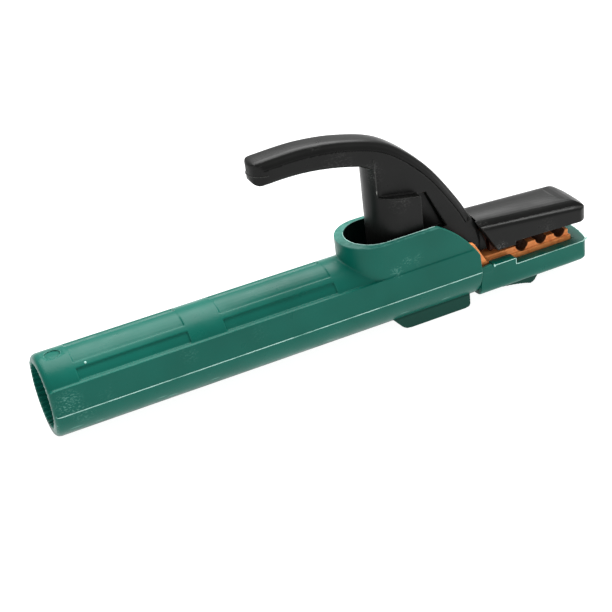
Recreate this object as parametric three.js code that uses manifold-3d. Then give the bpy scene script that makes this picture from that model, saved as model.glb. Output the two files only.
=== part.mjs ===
// Hand-held welding electrode holder with a spring-loaded lever jaw.
// Millimetres, +Z up, +X from the cable end towards the jaws, Y across the handle.
// Inside this file x = 0 is the handle's rear end and z = 0 is the handle tube's axis;
// the exported group is shifted so that its origin is the middle of the underside.
import * as THREE from "three";
import { mergeVertices } from "three/addons/utils/BufferGeometryUtils.js";
import Module from "manifold-3d";

const wasm = await Module();
wasm.setup();

// ---------- driving dimensions ----------
const gap = 0.3; // between pieces that touch
const pinGap = 0.3; // round a pin, screw or bush in its hole

// handle tube
const handleLength = 200.6;
const tubeRadius = 17.5;
const boreRadius = 14.5;
const rearRounding = 2.4;
const ledgeHeight = 9.6; // top of the side flanges
const ledgeHalfWidth = 16;
const partingHalfWidth = 17.4;
const partingHeight = -2;
const tubeBottomDepth = 18.8; // tube axis to the underside
const ribCount = 36; // fine ribs inside the rear of the bore
const ribDepth = 1;
const ribLength = 14;

// sunken grip panels on the upper half of the tube
const panelStarts = [14, 78.6];
const panelLengths = [48.6, 52];
const panelDepth = 0.8;

// collar round the lever
const collarHalfWidth = 15.5;
const collarHeight = 26;
const collarRearWall = 4.5;
const collarSideWall = 2.5;
const collarRearX = handleLength - 61.6;
const collarFlatEndX = handleLength - 19.6;
const collarFrontHeight = 6.4;

// foot under the housing
const footRearX = handleLength - 43.6;
const footFrontX = handleLength - 4.1;
const footHalfWidth = 12;
const footDepth = 21; // tube axis to the foot's flat face
const footRearSlope = 5.6;
const footCorner = 2.4; // reach of the rounding at its two lower corners

// lever
const pivotX = handleLength - 12.6;
const pivotZ = 8;
const hubRadius = 8;
const leverHalfWidth = 7;
const leverRounding = 1.8;
const tailTipX = handleLength - 98.3;
const tailZ = 70.5;
const tailTipRadius = 5.5; // half of its height
const tailTipCorner = 3.6; // reach of the rounding at its upper and lower corners
const noseX = handleLength + 4.6;
const noseZ = 15.2;
const noseLipX = handleLength + 9.2; // front of the lip under the nose
const noseBottomZ = 2.4;

// spring cup under the lever
const cupRadius = 11.4;
const cupX = handleLength - 35.2; // axis of the spring
const cupFrontX = handleLength - 25;
const cupBottomZ = 8;
const cupLedgeZ = 44.7; // at the rear of the cup's shoulder
const cupLedgeFall = 3.6;
const cupBackX = handleLength - 43.6;
const webHalfWidth = 4;
const springBoreRadius = cupRadius - 2.6;
const springBoreTopZ = 38;

// spring
const springRadius = springBoreRadius - 2;
const springWire = 1;
const springTurns = 7;

// jaws
const jawHalfWidth = 8.8;
const lowerJawTopZ = 0;
const jawRearX = handleLength + 6.4;
const jawFrontX = handleLength + 51.4;
const flangeHalfWidth = jawHalfWidth + 0.8;
const flangeTopZ = -3;
const flangeBottomZ = -7;
const grooveXs = [handleLength + 26.1, handleLength + 36.5, handleLength + 46.6];
const grooveRadii = [3.2, 2.9, 2.9];
const grooveRise = 0.3; // their axes above or below the jaw faces
const upperJawHalfWidth = 6.2;
const upperJawTopZ = 10.5;
const jawBite = 0.5; // between the closed jaws
const earThickness = 2.5;
const earOuter = 12.7;
const tongueHalfWidth = 3.5;
const tongueBottomZ = 3;
const tongueTopZ = 13.6;

// upper jaw cover
const coverHalfWidth = 12; // at its rear
const coverFrontX = handleLength + 61.7;
const coverRearTopX = handleLength + 1.4;
const coverRearBottomX = handleLength + 11.6;
const coverTopZ = 19.9;
const coverShoulderRise = 2.8; // of the rounded shoulder beside the crown
const crownFall = 0.078; // slopes of the crown and the shoulders towards the front
const shoulderFall = 0.052;
const coverWidening = 0.054; // of each side, towards the front
const coverFrontTopZ = 14.8;
const coverFrontReach = 14; // length of the rounded front, seen from the side
const coverShoulderZ = 13.5;
const coverSkirtZ = 4.8;
const coverFrontSkirtZ = 4.6;
const coverRearSkirtZ = 3;
const coverStepX = handleLength + 20.9;

// lower jaw shell
const shellRearX = handleLength + 0.6;
const shellFrontX = handleLength + 60.7;
const shellHalfWidth = 15.5;
const shellBottomZ = -17;
const shellShoulderZ = -1.8;
const shellRimZ = -5;
const shellStepX = handleLength + 18.9;
const shellShoulderX = handleLength + 7.4;
const shellLipFrontX = handleLength + 5.9;
const shellLipInner = 13.8;
const shellRecessZ = -4.4;
const shellCorner = 6;
const shellFrontBow = 3.2;
const bossX = handleLength + 27.2; // its screw
const bossRampX = handleLength + 9.4;
const bossFrontX = handleLength + 33.8;
const bossHalfWidth = 10.6;
const bossBottomZ = -20.8;
const shellScrewInset = 1.6; // its head above the boss's lowest point

// contact body: cable socket and bar
const socketRearX = handleLength - 108.6;
const socketLength = 46;
const socketRadius = 8.5;
const socketBoreRadius = socketRadius - 2.5;
const socketBoreDepth = 38;
const socketZ = -2;
const barHalfWidth = 6.5;
const barThickness = 5;
const barFrontX = handleLength - 0.6;

// fasteners
const pinRadius = 3;
const bushRadius = pinRadius + 1.5;
const bushFlangeRadius = bushRadius + 1.5;
const rollPinRadius = 1.5;
const rollPinX = handleLength - 1.6;
const rollPinZ = 7.5;
const screwRadius = 2;
const screwHeadRadius = screwRadius + 1.6;
const screwHeadHeight = 2.2;
const screwReach = 20;
const setScrewRadius = 2.5;
const setScrewLength = 9;
const setScrewXs = [handleLength - 98.6, handleLength - 81.6];
const jawScrewXs = [handleLength - 11.1, handleLength - 3.6];
const handleScrewX = handleLength - 20.1;
const coverScrewX = handleLength + 15.4;
const saddleHalfWidth = 2.6;
const saddleThickness = 1.6;
const seatRadius = springBoreRadius - 0.4;
const seatThickness = 1.5;
const round = 32; // sides of a small round piece

// ---------- values worked out from them ----------
const barTopZ = flangeBottomZ - gap;
const barBottomZ = barTopZ - barThickness;
const compartmentHalfWidth = collarHalfWidth - collarSideWall;
const collarArcX = collarRearX + collarHalfWidth;
const wellArcX = collarRearX + collarRearWall + compartmentHalfWidth;
const earInner = earOuter - earThickness;
const earRadius = pinRadius + 4.5;
const tongueEyeRadius = pinRadius + 3.3;
const earFrontX = jawRearX - 1.4;
const earBaseZ = flangeTopZ - 2;
const baseFrontX = handleLength - gap; // the wide base stays inside the housing
const earFootZ = lowerJawTopZ - 1.2;
const tongueGap = tongueHalfWidth + gap;
const slotTopZ = Math.max(tongueTopZ, pivotZ + tongueEyeRadius) + gap;
const shellPocketHalfWidth = flangeHalfWidth + gap;
const footBottomZ = -footDepth;

// ---------- shape tools ----------
function solid(geometry) {
  const bare = geometry.clone();
  bare.deleteAttribute("normal");
  bare.deleteAttribute("uv");
  const merged = mergeVertices(bare, 1e-4);
  return new wasm.Manifold(
    new wasm.Mesh({
      numProp: 3,
      vertProperties: new Float32Array(merged.attributes.position.array),
      triVerts: new Uint32Array(merged.index.array),
    }),
  );
}

function outline(points) {
  const shape = new THREE.Shape();
  points.forEach(([u, v], i) => (i ? shape.lineTo(u, v) : shape.moveTo(u, v)));
  shape.closePath();
  return shape;
}

function prism(shape, length, segments = 12, bevel = 0) {
  return new THREE.ExtrudeGeometry(shape, {
    depth: length - 2 * bevel,
    curveSegments: segments,
    bevelEnabled: bevel > 0,
    bevelThickness: bevel,
    bevelSize: bevel,
    bevelOffset: -bevel,
    bevelSegments: 3,
  }).translate(0, 0, bevel);
}

// A section drawn as (y, z), run from x0 to x1.
function alongX(shape, x0, x1, segments, bevel) {
  const turn = new THREE.Matrix4().makeBasis(
    new THREE.Vector3(0, 1, 0),
    new THREE.Vector3(0, 0, 1),
    new THREE.Vector3(1, 0, 0),
  );
  return solid(prism(shape, x1 - x0, segments, bevel).applyMatrix4(turn).translate(x0, 0, 0));
}

// A side outline drawn as (x, z), run from y0 to y1.
function alongY(shape, y0, y1, segments, bevel) {
  return solid(prism(shape, y1 - y0, segments, bevel).rotateX(Math.PI / 2).translate(0, y1, 0));
}

// A plan drawn as (x, y), run from z0 to z1.
function alongZ(shape, z0, z1, segments, bevel) {
  return solid(prism(shape, z1 - z0, segments, bevel).translate(0, 0, z0));
}

function block(x0, x1, y0, y1, z0, z1) {
  const box = new THREE.BoxGeometry(x1 - x0, y1 - y0, z1 - z0);
  return solid(box.translate((x0 + x1) / 2, (y0 + y1) / 2, (z0 + z1) / 2));
}

function rodX(radius, x0, x1, z = 0, sides = round) {
  const rod = new THREE.CylinderGeometry(radius, radius, x1 - x0, sides);
  return solid(rod.rotateZ(-Math.PI / 2).translate((x0 + x1) / 2, 0, z));
}

function rodY(radius, x, z, y0, y1, sides = round) {
  const rod = new THREE.CylinderGeometry(radius, radius, y1 - y0, sides);
  return solid(rod.translate(x, (y0 + y1) / 2, z));
}

function rodZ(radius, x, z0, z1, sides = round) {
  const rod = new THREE.CylinderGeometry(radius, radius, z1 - z0, sides);
  return solid(rod.rotateX(Math.PI / 2).translate(x, 0, (z0 + z1) / 2));
}

function join(...solids) {
  return solids.reduce((whole, next) => whole.add(next));
}

function cut(body, ...tools) {
  return tools.reduce((rest, tool) => rest.subtract(tool), body);
}

const holder = new THREE.Group();

function place(name, shape, finish) {
  const mesh = shape.getMesh();
  const geometry = new THREE.BufferGeometry();
  geometry.setAttribute("position", new THREE.BufferAttribute(mesh.vertProperties, 3));
  geometry.setIndex(new THREE.BufferAttribute(mesh.triVerts, 1));
  const flat = geometry.toNonIndexed();
  flat.computeVertexNormals();
  const piece = new THREE.Mesh(flat, new THREE.MeshStandardMaterial(finish));
  piece.name = name;
  holder.add(piece);
}

const greenPlastic = { color: 0x1e6b55, roughness: 0.42, metalness: 0 };
const blackPlastic = { color: 0x262726, roughness: 0.38, metalness: 0 };
const copper = { color: 0xc5723a, roughness: 0.35, metalness: 1 };
const brass = { color: 0xb99a4b, roughness: 0.35, metalness: 1 };
const steel = { color: 0x9b9d9f, roughness: 0.3, metalness: 1 };
const springSteel = { color: 0x6d6f72, roughness: 0.35, metalness: 1 };
const grayFibre = { color: 0x5b4a3c, roughness: 0.8, metalness: 0 };

// ---------- handle housing ----------
function handleSection() {
  const ledgeAngle = Math.asin(ledgeHeight / tubeRadius);
  const lowAngle = Math.asin(-partingHeight / tubeBottomDepth);
  const shape = new THREE.Shape();
  shape.absarc(0, 0, tubeRadius, ledgeAngle, Math.PI - ledgeAngle, false);
  shape.lineTo(-ledgeHalfWidth, ledgeHeight);
  shape.lineTo(-partingHalfWidth, partingHeight);
  shape.absellipse(
    0, 0, partingHalfWidth / Math.cos(lowAngle), tubeBottomDepth,
    Math.PI + lowAngle, 2 * Math.PI - lowAngle, false);
  shape.lineTo(partingHalfWidth, partingHeight);
  shape.lineTo(ledgeHalfWidth, ledgeHeight);
  shape.closePath();
  return shape;
}

// A ring sector cutter: from angle a0 to a1 (degrees above +Y), with its own depth at each end.
function panelCutter(x0, length, a0, a1, depth0, depth1) {
  const steps = 6;
  const points = [];
  for (let i = 0; i <= steps; i++) {
    const t = i / steps;
    const angle = THREE.MathUtils.degToRad(a0 + (a1 - a0) * t);
    const radius = tubeRadius - depth0 - (depth1 - depth0) * t;
    points.push([radius * Math.cos(angle), radius * Math.sin(angle)]);
  }
  for (const a of [a1, (a0 + a1) / 2, a0]) {
    const angle = THREE.MathUtils.degToRad(a);
    const radius = tubeRadius + 3;
    points.push([radius * Math.cos(angle), radius * Math.sin(angle)]);
  }
  const shape = outline(points);
  return alongX(THREE.ShapeUtils.isClockWise(shape.getPoints()) ? outline(points.reverse()) : shape,
    x0, x0 + length);
}

function gripPanels() {
  const cutters = [];
  panelStarts.forEach((start, i) => {
    const length = panelLengths[i];
    cutters.push(panelCutter(start, length, 128, 145, panelDepth, panelDepth));
    cutters.push(panelCutter(start, length, 81.6, 118, 0.02, panelDepth * 0.8));
    cutters.push(panelCutter(start, length, 62, 81.3, panelDepth * 0.8, panelDepth * 0.8));
    cutters.push(panelCutter(start, length, 35, 52, panelDepth, panelDepth));
  });
  return cutters;
}

// Plan of a well with one round end and an open front.
function wellPlan(arcX, radius, frontX) {
  const shape = new THREE.Shape();
  shape.absarc(arcX, 0, radius, Math.PI / 2, (3 * Math.PI) / 2, false);
  shape.lineTo(frontX, -radius);
  shape.lineTo(frontX, radius);
  shape.closePath();
  return shape;
}

function frontSlope() {
  const shape = new THREE.Shape();
  const clear = 20;
  shape.moveTo(collarFlatEndX, collarHeight);
  shape.quadraticCurveTo(
    handleLength - 7, collarHeight - 7.5, handleLength, collarFrontHeight);
  shape.lineTo(handleLength + clear, collarFrontHeight);
  shape.lineTo(handleLength + clear, collarHeight + clear);
  shape.lineTo(collarFlatEndX, collarHeight + clear);
  shape.closePath();
  return alongY(shape, -partingHalfWidth - 1, partingHalfWidth + 1);
}

function ribbedBore() {
  const points = [];
  for (let i = 0; i < 2 * ribCount; i++) {
    const angle = (Math.PI * i) / ribCount;
    const radius = boreRadius - (i % 2) * ribDepth;
    points.push([radius * Math.cos(angle), radius * Math.sin(angle)]);
  }
  return alongX(outline(points), -1, ribLength);
}

function footOutline() {
  const slope = footRearSlope / (boreRadius - footDepth);
  const shape = new THREE.Shape();
  shape.moveTo(footFrontX, -boreRadius);
  shape.lineTo(footRearX, -boreRadius);
  shape.lineTo(footRearX + footRearSlope + slope * footCorner, footBottomZ + footCorner);
  shape.quadraticCurveTo(
    footRearX + footRearSlope, footBottomZ, footRearX + footRearSlope + footCorner, footBottomZ);
  shape.lineTo(footFrontX - footCorner, footBottomZ);
  shape.quadraticCurveTo(footFrontX, footBottomZ, footFrontX, footBottomZ + footCorner);
  shape.closePath();
  return shape;
}

function handleHousing() {
  const over = 12;
  const tube = alongX(handleSection(), 0, handleLength + over, 24, rearRounding);
  const collar = alongZ(wellPlan(collarArcX, collarHalfWidth, handleLength), 0, collarHeight, 16);
  const foot = alongY(footOutline(), -footHalfWidth, footHalfWidth, 6);
  const lowerBore = rodX(boreRadius, ribLength - 1, handleLength + over + 1, 0, 72)
    .subtract(block(wellArcX, handleLength + 20, compartmentHalfWidth, 20, -20, 20))
    .subtract(block(wellArcX, handleLength + 20, -20, -compartmentHalfWidth, -20, 20));
  const well = alongZ(
    wellPlan(wellArcX, compartmentHalfWidth, handleLength + over), partingHeight, collarHeight + 5, 16);
  const shell = cut(
    join(tube, collar, foot),
    block(handleLength, handleLength + over + 5, -30, 30, -30, 30),
    ribbedBore(),
    lowerBore,
    well,
    frontSlope(),
    ...gripPanels(),
  );
  return cut(shell, ...screwHoleUp(handleScrewX, footBottomZ, 3));
}

// Hole and head recess for a screw driven upwards into a face at z.
function screwHoleUp(x, z, recess) {
  return [
    rodZ(screwHeadRadius + pinGap, x, z - 2, z + recess),
    rodZ(screwRadius + pinGap, x, z - 1, z + screwReach, 20),
  ];
}

function screwUp(x, headZ, tipZ) {
  const head = rodZ(screwHeadRadius, x, headZ, headZ + screwHeadHeight);
  const shank = rodZ(screwRadius, x, headZ, tipZ, 20);
  const slot = block(x - screwHeadRadius, x + screwHeadRadius, -0.5, 0.5, headZ - 1, headZ + 0.9);
  return cut(join(head, shank), slot);
}

// ---------- lower jaw shell ----------
function shellPlan(halfWidth, rearX, frontX, bow, corner) {
  const shape = new THREE.Shape();
  const side = frontX - bow - corner;
  shape.moveTo(rearX, -halfWidth);
  shape.lineTo(side, -halfWidth);
  shape.quadraticCurveTo(frontX - bow, -halfWidth, frontX - bow * 0.7, -halfWidth + corner);
  shape.quadraticCurveTo(frontX + bow * 0.3, 0, frontX - bow * 0.7, halfWidth - corner);
  shape.quadraticCurveTo(frontX - bow, halfWidth, side, halfWidth);
  shape.lineTo(rearX, halfWidth);
  shape.closePath();
  return shape;
}

function shellSection() {
  const shape = new THREE.Shape();
  const c = shellCorner;
  shape.moveTo(-shellHalfWidth, shellShoulderZ);
  shape.lineTo(-shellHalfWidth + 0.4, shellBottomZ + c);
  shape.quadraticCurveTo(-shellHalfWidth + 0.6, shellBottomZ, -shellHalfWidth + c + 1, shellBottomZ);
  shape.lineTo(shellHalfWidth - c - 1, shellBottomZ);
  shape.quadraticCurveTo(shellHalfWidth - 0.6, shellBottomZ, shellHalfWidth - 0.4, shellBottomZ + c);
  shape.lineTo(shellHalfWidth, shellShoulderZ);
  shape.closePath();
  return shape;
}

function lowerJawShell() {
  const body = alongX(shellSection(), shellRearX, shellFrontX + 2, 10).intersect(
    alongZ(shellPlan(shellHalfWidth, shellRearX - 1, shellFrontX, shellFrontBow, 4), -30, 10, 8),
  );
  const frontRound = alongY(
    outline([
      [shellFrontX - 9, shellBottomZ - 1],
      [shellFrontX - 9, shellBottomZ],
      [shellFrontX - 5, shellBottomZ + 1.6],
      [shellFrontX - 3, shellBottomZ + 4.2],
      [shellFrontX + 4, shellBottomZ + 9],
      [shellFrontX + 4, shellBottomZ - 1],
    ]),
    -20, 20,
  );
  const bossShape = new THREE.Shape();
  bossShape.moveTo(bossRampX, shellBottomZ + 1);
  bossShape.lineTo(bossRampX, shellBottomZ);
  bossShape.quadraticCurveTo(bossX - 3, shellBottomZ - 1.8, bossX + 1.6, bossBottomZ + 0.1);
  bossShape.quadraticCurveTo(bossFrontX - 2.4, bossBottomZ - 0.3, bossFrontX, shellBottomZ + 1);
  bossShape.closePath();
  const boss = alongY(bossShape, -bossHalfWidth, bossHalfWidth, 8);
  const pocket = block(
    shellRearX - 1, jawFrontX + 1.6, -shellPocketHalfWidth, shellPocketHalfWidth,
    flangeBottomZ - gap, 10);
  const hollow = block(shellRearX - 1, jawFrontX - 4, -7.4, 7.4, shellBottomZ + 3, flangeBottomZ);
  const rimStep = block(shellStepX, shellFrontX + 5, -20, 20, shellRimZ, 10);
  const earRoom = block(
    shellRearX - 1, shellShoulderX, -shellLipInner, shellLipInner, shellRecessZ, 10);
  const lipShape = outline([
    [shellRearX, shellRecessZ],
    [shellLipFrontX, shellRecessZ],
    [shellLipFrontX, shellShoulderZ + 0.9],
    [shellRearX, shellShoulderZ + 0.3],
  ]);
  const lips = [
    alongY(lipShape, shellLipInner, shellHalfWidth),
    alongY(lipShape, -shellHalfWidth, -shellLipInner),
  ];
  const pillar = rodZ(5, bossX, shellBottomZ, flangeBottomZ - gap, 28);
  return cut(
    join(cut(join(body, boss), frontRound, pocket, earRoom, hollow, rimStep), pillar, ...lips),
    ...screwHoleUp(bossX, bossBottomZ, shellScrewInset + screwHeadHeight + gap),
  );
}

// ---------- current-carrying pieces ----------
function grooves(z, y) {
  return grooveXs.map((x, i) => rodY(grooveRadii[i], x, z, -y, y, 20));
}

function ear(y0, y1) {
  const shape = new THREE.Shape();
  shape.moveTo(pivotX - earRadius, earBaseZ);
  shape.lineTo(pivotX - earRadius, pivotZ);
  shape.absarc(pivotX, pivotZ, earRadius, Math.PI, Math.PI / 5, true);
  shape.lineTo(pivotX + earRadius + 4.4, pivotZ + 2.3);
  shape.lineTo(earFrontX, lowerJawTopZ);
  shape.lineTo(earFrontX, earFootZ);
  shape.lineTo(baseFrontX, earFootZ);
  shape.lineTo(baseFrontX, earBaseZ);
  shape.closePath();
  return alongY(shape, y0, y1, 10);
}

function lowerJaw() {
  const base = block(
    pivotX - earRadius, baseFrontX, -earOuter, earOuter, earBaseZ, flangeTopZ);
  const flange = block(
    pivotX - earRadius, jawFrontX + 1, -flangeHalfWidth, flangeHalfWidth, flangeBottomZ, flangeTopZ);
  const plate = block(
    jawRearX, jawFrontX, -jawHalfWidth, jawHalfWidth, flangeTopZ - 1, lowerJawTopZ);
  return cut(
    join(base, flange, plate, ear(earInner, earOuter), ear(-earOuter, -earInner)),
    ...grooves(lowerJawTopZ + grooveRise, 20),
    rodY(pinRadius + pinGap, pivotX, pivotZ, -20, 20),
    ...jawScrewXs.map((x) => rodZ(screwRadius + pinGap, x, flangeBottomZ - 1, flangeTopZ + 1, 20)),
    rodZ(screwRadius + pinGap, bossX, flangeBottomZ - 1, flangeTopZ - gap, 20),
  );
}

function contactBody() {
  const socketFrontX = socketRearX + socketLength;
  const tube = rodX(socketRadius, socketRearX, socketFrontX, socketZ, 40);
  const bar = block(socketFrontX - 12, barFrontX, -barHalfWidth, barHalfWidth, barBottomZ, barTopZ);
  const neck = block(
    socketFrontX - 8, socketFrontX + 5, -barHalfWidth, barHalfWidth, barBottomZ, socketZ);
  return cut(
    join(tube, bar, neck),
    rodX(socketBoreRadius, socketRearX - 1, socketRearX + socketBoreDepth, socketZ, 32),
    ...setScrewXs.map((x) => rodZ(setScrewRadius + pinGap, x, socketZ + 3, 20)),
    ...jawScrewXs.flatMap((x) => screwHoleUp(x, barBottomZ, screwHeadHeight + gap)),
    rodZ(screwRadius + pinGap, handleScrewX, barBottomZ - 1, barTopZ + 1, 20),
  );
}

function upperJaw() {
  const faceZ = lowerJawTopZ + jawBite;
  const plate = block(
    coverRearBottomX - 1, jawFrontX - 0.6, -upperJawHalfWidth, upperJawHalfWidth, faceZ, upperJawTopZ);
  const strap = block(
    pivotX, coverRearBottomX, -tongueHalfWidth, tongueHalfWidth, tongueBottomZ, tongueTopZ);
  const eye = rodY(tongueEyeRadius, pivotX, pivotZ, -tongueHalfWidth, tongueHalfWidth, 32);
  const joint = block(
    coverRearBottomX - 3, coverRearBottomX, -tongueHalfWidth, tongueHalfWidth, faceZ + 1, upperJawTopZ);
  const trim = block(
    coverRearBottomX - 2, coverRearBottomX + 1, -20, 20, upperJawTopZ, 30);
  return cut(
    join(cut(strap, trim), eye, joint, plate),
    ...grooves(faceZ - grooveRise, 20),
    rodY(pinRadius + pinGap, pivotX, pivotZ, -20, 20),
    rodY(rollPinRadius + pinGap, rollPinX, rollPinZ, -20, 20, 20),
    rodZ(screwHeadRadius + pinGap, coverScrewX, faceZ - 1, faceZ + screwHeadHeight + gap),
    rodZ(screwRadius + pinGap, coverScrewX, faceZ - 1, upperJawTopZ + 1, 20),
  );
}

// ---------- lever ----------
function leverOutline() {
  const tipX = tailTipX + tailTipRadius;
  const tailTop = tailZ + tailTipRadius;
  const tailBottom = tailZ - tailTipRadius;
  const shape = new THREE.Shape();
  shape.moveTo(tailTipX + tailTipCorner, tailBottom);
  shape.quadraticCurveTo(tailTipX, tailBottom, tailTipX, tailBottom + tailTipCorner);
  shape.lineTo(tailTipX, tailTop - tailTipCorner);
  shape.quadraticCurveTo(tailTipX, tailTop - 0.8, tailTipX + tailTipCorner, tailTop - 0.5);
  shape.splineThru([
    new THREE.Vector2(tipX + 18.3, tailTop + 0.1),
    new THREE.Vector2(tipX + 38.3, tailTop - 2.6),
    new THREE.Vector2(pivotX - 23, tailTop - 9.3),
    new THREE.Vector2(pivotX - 5.2, tailTop - 24.8),
    new THREE.Vector2(noseX - 7.7, noseZ + 15.1),
    new THREE.Vector2(noseX, noseZ),
  ]);
  shape.quadraticCurveTo(noseX + 2.4, noseZ - 7, noseX + 0.8, noseBottomZ);
  shape.lineTo(pivotX + hubRadius, noseBottomZ - 1);
  shape.quadraticCurveTo(pivotX + 4, pivotZ - hubRadius, pivotX, pivotZ - hubRadius);
  shape.quadraticCurveTo(pivotX - hubRadius, pivotZ - hubRadius, pivotX - hubRadius, pivotZ);
  shape.lineTo(cupFrontX - 1, pivotZ + 4);
  shape.lineTo(cupFrontX - 1, cupLedgeZ - cupLedgeFall - 2);
  shape.lineTo(cupBackX, cupLedgeZ - cupLedgeFall - 2);
  shape.lineTo(cupBackX, tailBottom - 8);
  shape.quadraticCurveTo(cupBackX - 3, tailBottom - 6.5, cupBackX - 7, tailBottom - 4.4);
  shape.quadraticCurveTo(tipX + 24.3, tailBottom + 0.8, tipX + 8.3, tailBottom + 0.4);
  shape.closePath();
  return shape;
}

// The lip that carries the nose on down behind the cover, drawn grow wider all round.
function noseLip(grow) {
  const shape = new THREE.Shape();
  shape.moveTo(noseX - 6, noseBottomZ - grow);
  shape.lineTo(noseLipX + grow, noseBottomZ - grow);
  shape.quadraticCurveTo(noseLipX - 0.6 + grow, noseZ - 6, noseX + grow, noseZ - 1.5);
  shape.lineTo(noseX - 6, noseZ - 1.5);
  shape.closePath();
  const y = leverHalfWidth - 0.5 + grow;
  return alongY(shape, -y, y, 8);
}

// Plan of the spring cup: round at the rear, straight sides, flat front.
function cupPlan(frontX) {
  return wellPlan(cupX, cupRadius, frontX);
}

function lever() {
  const roundTail = wellPlan(tailTipX + leverHalfWidth, leverHalfWidth, noseX + 10);
  const arm = alongY(leverOutline(), -leverHalfWidth, leverHalfWidth, 8, leverRounding)
    .intersect(alongZ(roundTail, 0, tailZ + 20, 16));
  const shoulder = outline([
    [cupX - cupRadius - 1, cupBottomZ],
    [cupFrontX + 1, cupBottomZ],
    [cupFrontX + 1, cupLedgeZ - cupLedgeFall],
    [cupBackX, cupLedgeZ],
    [cupX - cupRadius - 1, cupLedgeZ],
  ]);
  const cup = alongZ(cupPlan(cupFrontX), cupBottomZ, cupLedgeZ, 16).intersect(
    alongY(shoulder, -cupRadius - 1, cupRadius + 1));
  const back = alongZ(cupPlan(cupBackX + 10), cupLedgeZ - 1, tailZ - 9.5, 16).subtract(
    block(cupBackX, cupX + 30, -20, 20, 0, 100));
  const pocketShape = outline([
    [cupFrontX + 0.8, cupLedgeZ - 4.4],
    [cupFrontX + 4.6, cupLedgeZ - 4.4],
    [cupFrontX + 13.6, cupLedgeZ - 24],
    [cupFrontX + 0.8, cupLedgeZ - 24],
  ].reverse());
  const slot = block(
    pivotX - hubRadius - 1, noseX + 20, -tongueGap, tongueGap, -20, slotTopZ);
  const cheek = leverHalfWidth + 1;
  return cut(
    join(arm, cup, back, noseLip(0)),
    alongY(pocketShape, webHalfWidth, cheek),
    alongY(pocketShape, -cheek, -webHalfWidth),
    rodZ(springBoreRadius, cupX, cupBottomZ - 1, springBoreTopZ, 32),
    slot,
    rodY(bushRadius + pinGap, pivotX, pivotZ, -cheek, cheek),
    rodY(rollPinRadius + pinGap, rollPinX, rollPinZ, -cheek, cheek, 20),
  );
}

// ---------- upper jaw cover ----------
function coverSection() {
  const shape = new THREE.Shape();
  const w = coverHalfWidth;
  const shoulderTopZ = coverShoulderZ + coverShoulderRise;
  shape.moveTo(-w, -20);
  shape.lineTo(w, -20);
  shape.lineTo(w, coverShoulderZ);
  shape.quadraticCurveTo(w - 0.1, shoulderTopZ, w - 1.9, shoulderTopZ);
  shape.lineTo(w - 2.5, shoulderTopZ - 0.6);
  shape.bezierCurveTo(w - 2.9, coverTopZ - 0.9, w - 6, coverTopZ, 0, coverTopZ);
  shape.bezierCurveTo(6 - w, coverTopZ, 2.9 - w, coverTopZ - 0.9, 2.5 - w, shoulderTopZ - 0.6);
  shape.lineTo(1.9 - w, shoulderTopZ);
  shape.quadraticCurveTo(0.1 - w, shoulderTopZ, -w, coverShoulderZ);
  shape.closePath();
  return shape;
}

function coverSide() {
  const shape = new THREE.Shape();
  shape.moveTo(coverRearBottomX, coverRearSkirtZ);
  shape.lineTo(coverStepX, coverRearSkirtZ);
  shape.lineTo(coverStepX, coverSkirtZ);
  shape.lineTo(coverFrontX - 3.5, coverFrontSkirtZ);
  shape.quadraticCurveTo(coverFrontX, coverFrontSkirtZ + 0.5, coverFrontX, coverFrontSkirtZ + 2.5);
  shape.bezierCurveTo(
    coverFrontX, coverFrontTopZ - 5,
    coverFrontX - 3.5, coverFrontTopZ - 0.6,
    coverFrontX - coverFrontReach, coverFrontTopZ + 1);
  shape.lineTo(coverFrontX - coverFrontReach - 12, coverTopZ + 1);
  shape.lineTo(coverRearTopX, coverTopZ + 1);
  shape.closePath();
  return shape;
}

// Lowers and widens a straight run towards the front, its crown more than its shoulders.
function spreadForward(shape) {
  return shape.warp((point) => {
    const [x, y, z] = point;
    const rise = Math.min(Math.max((z - coverShoulderZ) / coverShoulderRise, 0), 1);
    point[1] = (y * coverHalfWidthAt(x)) / coverHalfWidth;
    point[2] = z - (x - coverRearTopX) * (shoulderFall + (crownFall - shoulderFall) * rise);
  });
}

function coverHalfWidthAt(x) {
  return coverHalfWidth + coverWidening * (x - coverRearBottomX);
}

function upperJawCover() {
  const frontHalfWidth = coverHalfWidthAt(coverFrontX);
  const body = spreadForward(alongX(coverSection(), coverRearTopX - 2, coverFrontX + 2, 8))
    .intersect(alongY(coverSide(), -20, 20, 8))
    .intersect(alongZ(shellPlan(frontHalfWidth, coverRearTopX - 2, coverFrontX, 2.4, 7.5), -5, 40, 10));
  const pocket = block(
    coverRearTopX - 2, jawFrontX, -upperJawHalfWidth - gap, upperJawHalfWidth + gap,
    -5, upperJawTopZ + gap);
  const tongueRoom = block(
    coverRearTopX - 3, coverRearBottomX - 2 + gap, -tongueGap, tongueGap, -5, tongueTopZ + gap);
  const leverRoom = alongY(leverOutline(), -leverHalfWidth - gap, leverHalfWidth + gap, 8);
  return cut(
    body,
    pocket,
    tongueRoom,
    leverRoom.translate([2 * gap, 0, 0]),
    noseLip(gap),
    rodZ(screwRadius + pinGap, coverScrewX, 0, upperJawTopZ + 4, 20),
  );
}

// ---------- spring, pins and screws ----------
class Helix extends THREE.Curve {
  getPoint(t, target = new THREE.Vector3()) {
    const angle = 2 * Math.PI * springTurns * t;
    const foot = barTopZ + gap + seatThickness + gap + springWire;
    const head = springBoreTopZ - gap - springWire;
    return target.set(
      cupX + springRadius * Math.cos(angle),
      springRadius * Math.sin(angle),
      foot + (head - foot) * t,
    );
  }
}

function spring() {
  const wire = new THREE.Shape();
  wire.absarc(0, 0, springWire, 0, 2 * Math.PI, false);
  const steps = 16 * springTurns;
  return solid(
    new THREE.ExtrudeGeometry(wire, { steps, extrudePath: new Helix(), curveSegments: 4 }));
}

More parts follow.
